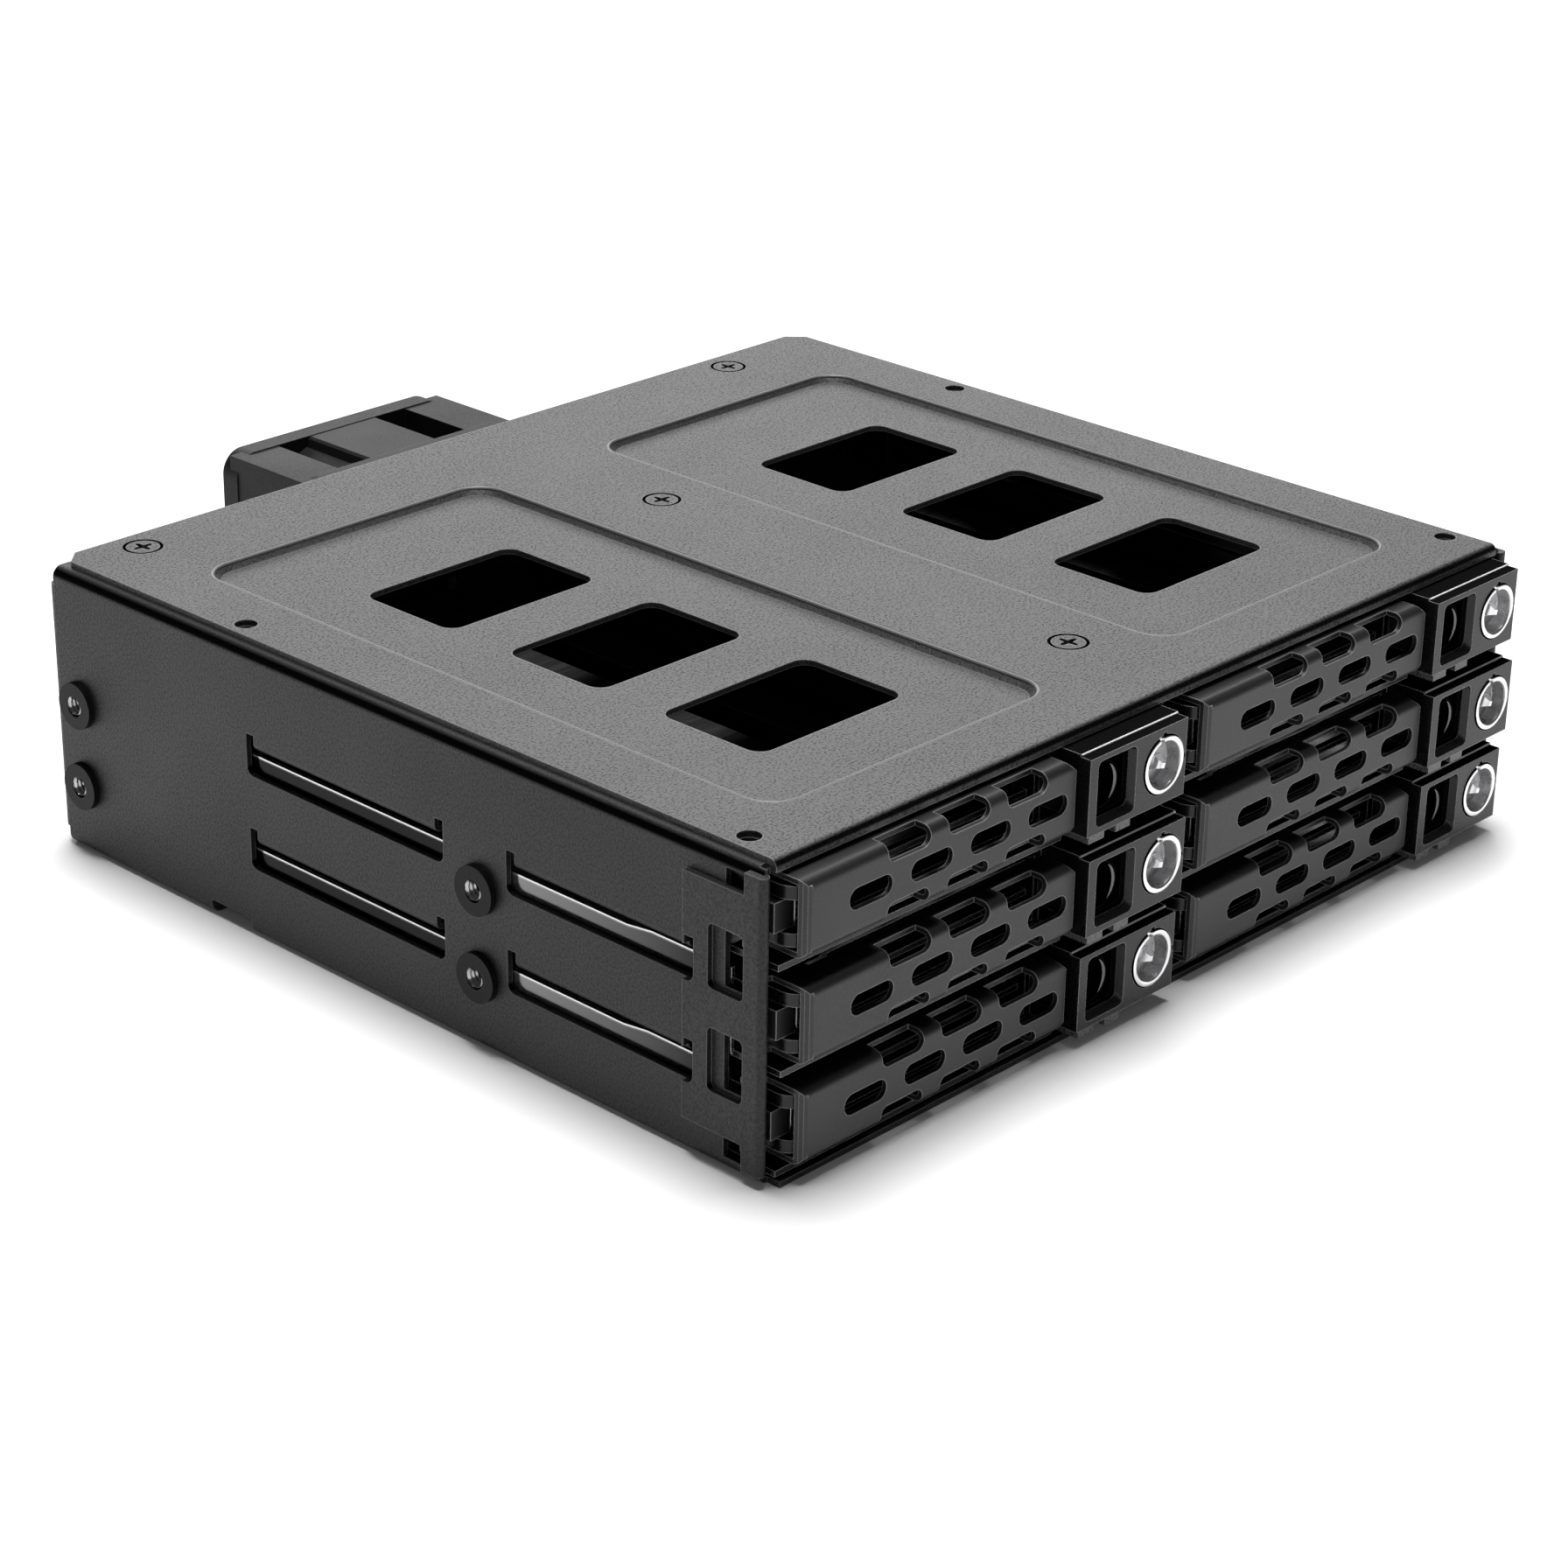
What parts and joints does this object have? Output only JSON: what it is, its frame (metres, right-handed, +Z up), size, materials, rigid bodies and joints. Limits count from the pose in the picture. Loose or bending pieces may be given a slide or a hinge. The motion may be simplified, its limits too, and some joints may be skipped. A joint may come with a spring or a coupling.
{
  "type": "hot swap drive cage",
  "caption": "Black steel bay cage with two columns of slim drive trays, each with a slotted lever, release button and key lock, windows in the cover and a small fan behind.",
  "frame": {"origin": "centre of the cage floor's bottom face, on the middle of the folded shell's depth and width", "axes": "+X to the right seen from the front, +Y from the tray fronts to the fan, +Z up"},
  "size_m": [0.148, 0.159, 0.0413],
  "materials": {
    "black_coat": "fine textured black powder coat",
    "lever_coat": "smooth satin black coat",
    "black_screw": "black oxide screw",
    "plain_steel": "bright plated steel",
    "bare_steel": "bare zinc coated sheet",
    "board": "coated circuit board",
    "black_plastic": "matt black moulding",
    "block_plastic": "satin black moulding",
    "lock_chrome": "bright ring, grey bowl",
    "light_pipe": "frosted clear light pipe"
  },
  "bodies": {
    "cage": {"base_shell": "black_coat", "top_cover": "black_coat", "cover_screws": "black_screw", "side_bushes": "plain_steel", "centre_divider": "bare_steel", "rear_panel": "black_coat", "panel_screws": "plain_steel", "backplane_board": "board", "board_posts": "plain_steel", "board_screws": "plain_steel", "drive_connectors": "black_plastic", "data_ports": "black_plastic", "power_inlets": "black_plastic", "fan_frame": "black_plastic", "fan_screws": "plain_steel"},
    "fan_rotor": {"fan_rotor": "black_plastic"},
    "tray_left_1": {"tray_left_1_pan": "bare_steel", "tray_left_1_front": "block_plastic", "tray_left_1_pin": "plain_steel", "tray_left_1_lights": "light_pipe"},
    "tray_left_1_lever": {"tray_left_1_lever": "lever_coat"},
    "tray_left_1_button": {"tray_left_1_button": "block_plastic"},
    "tray_left_1_lock": {"tray_left_1_lock": "lock_chrome"},
    "tray_left_2": {"tray_left_2_pan": "bare_steel", "tray_left_2_front": "block_plastic", "tray_left_2_pin": "plain_steel", "tray_left_2_lights": "light_pipe"},
    "tray_left_2_lever": {"tray_left_2_lever": "lever_coat"},
    "tray_left_2_button": {"tray_left_2_button": "block_plastic"},
    "tray_left_2_lock": {"tray_left_2_lock": "lock_chrome"},
    "tray_left_3": {"tray_left_3_pan": "bare_steel", "tray_left_3_front": "block_plastic", "tray_left_3_pin": "plain_steel", "tray_left_3_lights": "light_pipe"},
    "tray_left_3_lever": {"tray_left_3_lever": "lever_coat"},
    "tray_left_3_button": {"tray_left_3_button": "block_plastic"},
    "tray_left_3_lock": {"tray_left_3_lock": "lock_chrome"},
    "tray_right_1": {"tray_right_1_pan": "bare_steel", "tray_right_1_front": "block_plastic", "tray_right_1_pin": "plain_steel", "tray_right_1_lights": "light_pipe"},
    "tray_right_1_lever": {"tray_right_1_lever": "lever_coat"},
    "tray_right_1_button": {"tray_right_1_button": "block_plastic"},
    "tray_right_1_lock": {"tray_right_1_lock": "lock_chrome"},
    "tray_right_2": {"tray_right_2_pan": "bare_steel", "tray_right_2_front": "block_plastic", "tray_right_2_pin": "plain_steel", "tray_right_2_lights": "light_pipe"},
    "tray_right_2_lever": {"tray_right_2_lever": "lever_coat"},
    "tray_right_2_button": {"tray_right_2_button": "block_plastic"},
    "tray_right_2_lock": {"tray_right_2_lock": "lock_chrome"},
    "tray_right_3": {"tray_right_3_pan": "bare_steel", "tray_right_3_front": "block_plastic", "tray_right_3_pin": "plain_steel", "tray_right_3_lights": "light_pipe"},
    "tray_right_3_lever": {"tray_right_3_lever": "lever_coat"},
    "tray_right_3_button": {"tray_right_3_button": "block_plastic"},
    "tray_right_3_lock": {"tray_right_3_lock": "lock_chrome"}
  },
  "joints": [
    {"name": "tray_left_1_slide", "type": "slide", "parent": "cage", "child": "tray_left_1", "axis": [0, -1, 0], "range_m": [0, 0.11]},
    {"name": "tray_left_1_lever_hinge", "type": "hinge", "parent": "tray_left_1", "child": "tray_left_1_lever", "pos_m": [-0.0678, -0.0657, 0.0342], "axis": [0, 0, -1], "range_deg": [0, 80]},
    {"name": "tray_left_1_button_press", "type": "slide", "parent": "tray_left_1", "child": "tray_left_1_button", "axis": [0, 1, 0], "range_m": [0, 0.0012], "stiffness_N_per_m": 400, "springref_m": -0.001},
    {"name": "tray_left_1_lock_turn", "type": "hinge", "parent": "tray_left_1", "child": "tray_left_1_lock", "pos_m": [-0.0068, -0.0705, 0.0342], "axis": [0, 1, 0], "range_deg": [0, 90]},
    {"name": "tray_left_2_slide", "type": "slide", "parent": "cage", "child": "tray_left_2", "axis": [0, -1, 0], "range_m": [0, 0.11]},
    {"name": "tray_left_2_lever_hinge", "type": "hinge", "parent": "tray_left_2", "child": "tray_left_2_lever", "pos_m": [-0.0678, -0.0663, 0.0209], "axis": [0, 0, -1], "range_deg": [0, 80]},
    {"name": "tray_left_2_button_press", "type": "slide", "parent": "tray_left_2", "child": "tray_left_2_button", "axis": [0, 1, 0], "range_m": [0, 0.0012], "stiffness_N_per_m": 400, "springref_m": -0.001},
    {"name": "tray_left_2_lock_turn", "type": "hinge", "parent": "tray_left_2", "child": "tray_left_2_lock", "pos_m": [-0.0068, -0.0711, 0.0209], "axis": [0, 1, 0], "range_deg": [0, 90]},
    {"name": "tray_left_3_slide", "type": "slide", "parent": "cage", "child": "tray_left_3", "axis": [0, -1, 0], "range_m": [0, 0.11]},
    {"name": "tray_left_3_lever_hinge", "type": "hinge", "parent": "tray_left_3", "child": "tray_left_3_lever", "pos_m": [-0.0678, -0.0657, 0.0076], "axis": [0, 0, -1], "range_deg": [0, 80]},
    {"name": "tray_left_3_button_press", "type": "slide", "parent": "tray_left_3", "child": "tray_left_3_button", "axis": [0, 1, 0], "range_m": [0, 0.0012], "stiffness_N_per_m": 400, "springref_m": -0.001},
    {"name": "tray_left_3_lock_turn", "type": "hinge", "parent": "tray_left_3", "child": "tray_left_3_lock", "pos_m": [-0.0068, -0.0705, 0.0076], "axis": [0, 1, 0], "range_deg": [0, 90]},
    {"name": "tray_right_1_slide", "type": "slide", "parent": "cage", "child": "tray_right_1", "axis": [0, -1, 0], "range_m": [0, 0.11]},
    {"name": "tray_right_1_lever_hinge", "type": "hinge", "parent": "tray_right_1", "child": "tray_right_1_lever", "pos_m": [0.005, -0.0657, 0.0342], "axis": [0, 0, -1], "range_deg": [0, 80]},
    {"name": "tray_right_1_button_press", "type": "slide", "parent": "tray_right_1", "child": "tray_right_1_button", "axis": [0, 1, 0], "range_m": [0, 0.0012], "stiffness_N_per_m": 400, "springref_m": -0.001},
    {"name": "tray_right_1_lock_turn", "type": "hinge", "parent": "tray_right_1", "child": "tray_right_1_lock", "pos_m": [0.066, -0.0705, 0.0342], "axis": [0, 1, 0], "range_deg": [0, 90]},
    {"name": "tray_right_2_slide", "type": "slide", "parent": "cage", "child": "tray_right_2", "axis": [0, -1, 0], "range_m": [0, 0.11]},
    {"name": "tray_right_2_lever_hinge", "type": "hinge", "parent": "tray_right_2", "child": "tray_right_2_lever", "pos_m": [0.005, -0.0663, 0.0209], "axis": [0, 0, -1], "range_deg": [0, 80]},
    {"name": "tray_right_2_button_press", "type": "slide", "parent": "tray_right_2", "child": "tray_right_2_button", "axis": [0, 1, 0], "range_m": [0, 0.0012], "stiffness_N_per_m": 400, "springref_m": -0.001},
    {"name": "tray_right_2_lock_turn", "type": "hinge", "parent": "tray_right_2", "child": "tray_right_2_lock", "pos_m": [0.066, -0.0711, 0.0209], "axis": [0, 1, 0], "range_deg": [0, 90]},
    {"name": "tray_right_3_slide", "type": "slide", "parent": "cage", "child": "tray_right_3", "axis": [0, -1, 0], "range_m": [0, 0.11]},
    {"name": "tray_right_3_lever_hinge", "type": "hinge", "parent": "tray_right_3", "child": "tray_right_3_lever", "pos_m": [0.005, -0.0657, 0.0076], "axis": [0, 0, -1], "range_deg": [0, 80]},
    {"name": "tray_right_3_button_press", "type": "slide", "parent": "tray_right_3", "child": "tray_right_3_button", "axis": [0, 1, 0], "range_m": [0, 0.0012], "stiffness_N_per_m": 400, "springref_m": -0.001},
    {"name": "tray_right_3_lock_turn", "type": "hinge", "parent": "tray_right_3", "child": "tray_right_3_lock", "pos_m": [0.066, -0.0705, 0.0076], "axis": [0, 1, 0], "range_deg": [0, 90]},
    {"name": "fan_spin", "type": "hinge", "parent": "cage", "child": "fan_rotor", "pos_m": [-0.0078, 0.0745, 0.0204], "axis": [0, 1, 0], "continuous": true}
  ]
}
